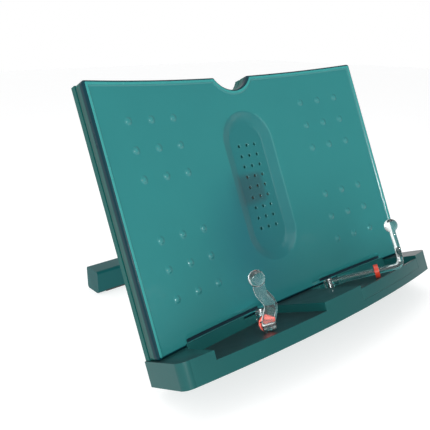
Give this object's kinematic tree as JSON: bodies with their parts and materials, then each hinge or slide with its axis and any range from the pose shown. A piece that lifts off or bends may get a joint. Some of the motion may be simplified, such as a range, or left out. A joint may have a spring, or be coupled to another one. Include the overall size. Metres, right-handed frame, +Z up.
{
  "type": "folding book stand",
  "caption": "Folding desk stand for a book or sketch pad: a gently hollow board on a deep ledge, with swivelling clear page clips and a rear leg on a friction hinge.",
  "frame": {"origin": "middle of the rubber grip strip's underside, on the surface the stand rests on", "axes": "+X along the ledge to the reader's right, -Y towards the reader, +Z up"},
  "size_m": [0.343, 0.2753, 0.2422],
  "materials": {
    "board_plastic": "translucent tinted moulding, satin gloss",
    "ledge_plastic": "tinted moulding, satin gloss",
    "leg_plastic": "tinted moulding, satin",
    "clear_plastic": "clear polycarbonate, polished",
    "red_plastic": "gloss",
    "hinge_steel": "dull plated",
    "screw_steel": "zinc plated",
    "grip_rubber": "matt"
  },
  "bodies": {
    "stand": {"front_panel": "board_plastic", "back_cover": "board_plastic", "ledge_tray": "ledge_plastic", "base_plate": "ledge_plastic", "pocket_gate": "ledge_plastic", "base_grip": "grip_rubber", "cover_screws": "screw_steel", "base_screws": "screw_steel", "hinge_bracket": "hinge_steel", "bracket_screws": "screw_steel", "hinge_pin": "hinge_steel", "hinge_washers": "hinge_steel", "clip_pin_left": "screw_steel", "clip_pin_right": "screw_steel", "clip_washer_left": "screw_steel", "clip_washer_right": "screw_steel"},
    "leg": {"hinge_leaf": "hinge_steel", "leaf_screws": "screw_steel", "leg_stem": "leg_plastic", "foot_bar": "leg_plastic", "foot_pads": "grip_rubber"},
    "clip_left": {"clip_arm_left": "clear_plastic", "clip_ring_left": "red_plastic"},
    "clip_right": {"clip_arm_right": "clear_plastic", "clip_ring_right": "red_plastic"}
  },
  "joints": [
    {"name": "leg_fold", "type": "hinge", "parent": "stand", "child": "leg", "pos_m": [0, 0.07321, 0.12258], "axis": [1, 0, 0], "range_deg": [-68.5, 18]},
    {"name": "clip_left_swivel", "type": "hinge", "parent": "stand", "child": "clip_left", "pos_m": [-0.05, -0.00258, 0.03153], "axis": [0, 0.4067, 0.9135], "range_deg": [-39, 42]},
    {"name": "clip_right_swivel", "type": "hinge", "parent": "stand", "child": "clip_right", "pos_m": [0.05, -0.00258, 0.03153], "axis": [0, -0.4067, -0.9135], "range_deg": [-36, 45]}
  ]
}
